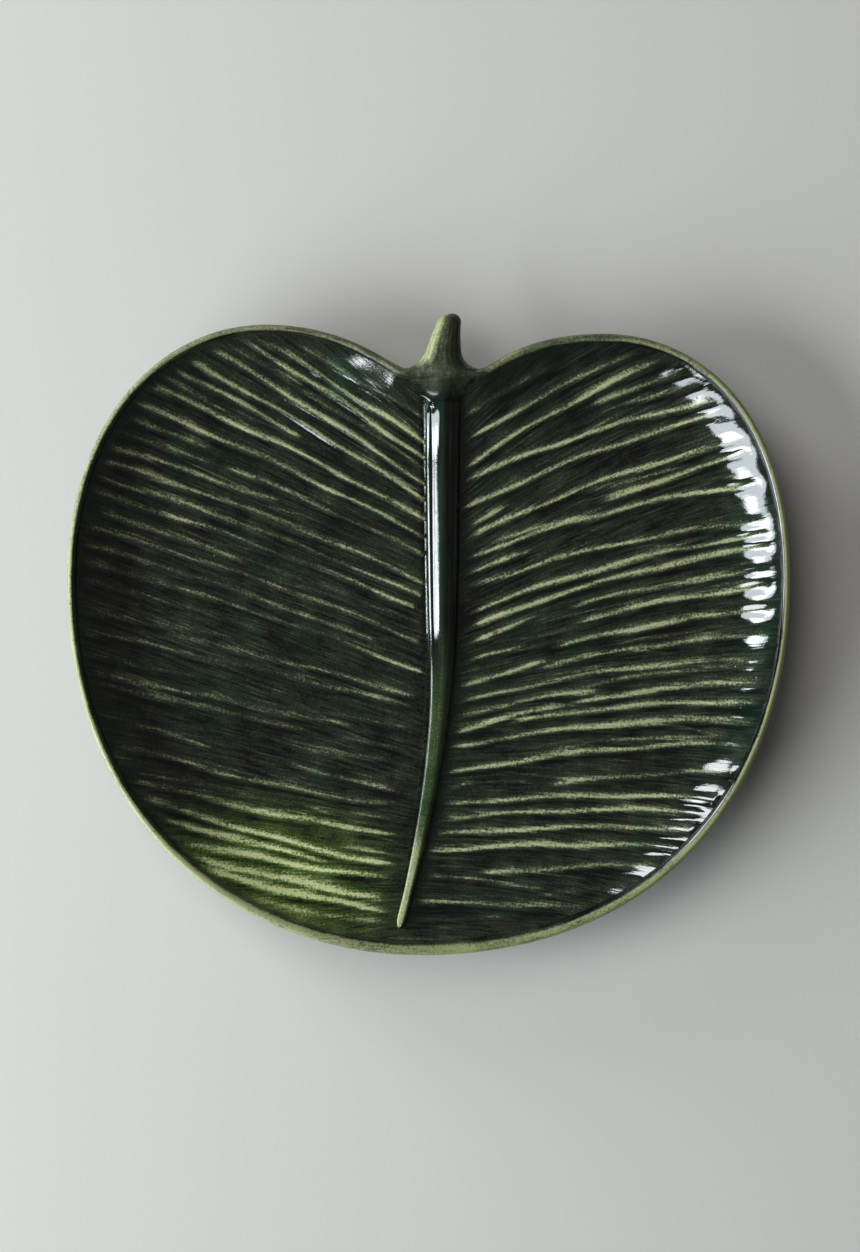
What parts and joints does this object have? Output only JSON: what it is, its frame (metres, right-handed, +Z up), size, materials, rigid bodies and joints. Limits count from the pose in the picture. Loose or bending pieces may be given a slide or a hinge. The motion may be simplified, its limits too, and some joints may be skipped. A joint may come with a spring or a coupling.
{
  "type": "leaf shaped plate",
  "caption": "Shallow heart-shaped leaf plate with a raised midrib, carved side veins, a rounded lip, a short stem to hold it by and a foot ring, for serving food.",
  "frame": {"origin": "on the table, under the middle of the plate's plan", "axes": "+X across the leaf to the right lobe's side, +Y from the leaf's tip to its stem, +Z up out of the well"},
  "size_m": [0.2, 0.1774, 0.0216],
  "materials": {
    "leaf_glaze": "dark green transparent gloss glaze, pooled in the carving and thin on the vein crests",
    "lip_glaze": "the same gloss glaze, broken to olive where it runs thin over the lip",
    "rib_glaze": "the same gloss glaze, olive green over the rounded rib and stem",
    "bare_clay": "unglazed, slightly sandy fired clay"
  },
  "bodies": {
    "root": {"leaf_blade": "leaf_glaze", "rim_bead": "lip_glaze", "midrib": "rib_glaze", "stem": "rib_glaze", "foot_ring": "bare_clay"}
  },
  "joints": []
}
